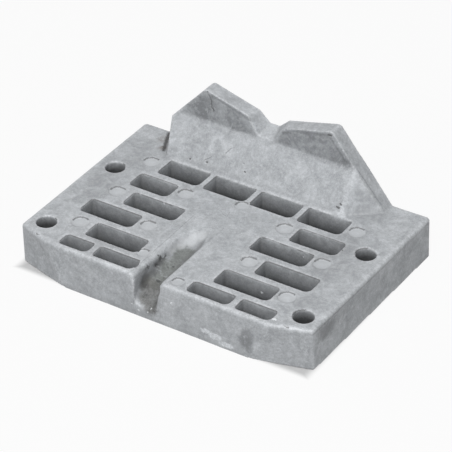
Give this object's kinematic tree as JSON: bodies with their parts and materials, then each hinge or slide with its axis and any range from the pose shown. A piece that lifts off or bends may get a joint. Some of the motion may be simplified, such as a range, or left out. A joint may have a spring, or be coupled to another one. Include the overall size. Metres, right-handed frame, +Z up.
{
  "type": "sacrificial anode",
  "caption": "Block sacrificial anode: a thick slotted plate with corner screw holes, a channel in its front and a raised lobed fin along its back edge.",
  "frame": {"origin": "centre of the plate on its flat foot face", "axes": "+X across the width, +Y from the front channel to the fin, +Z up from the foot face to the top face"},
  "size_m": [0.1452, 0.1016, 0.0517],
  "materials": {
    "zinc": "as-cast zinc alloy, dull grey"
  },
  "bodies": {
    "root": {"anode_casting": "zinc"}
  },
  "joints": []
}
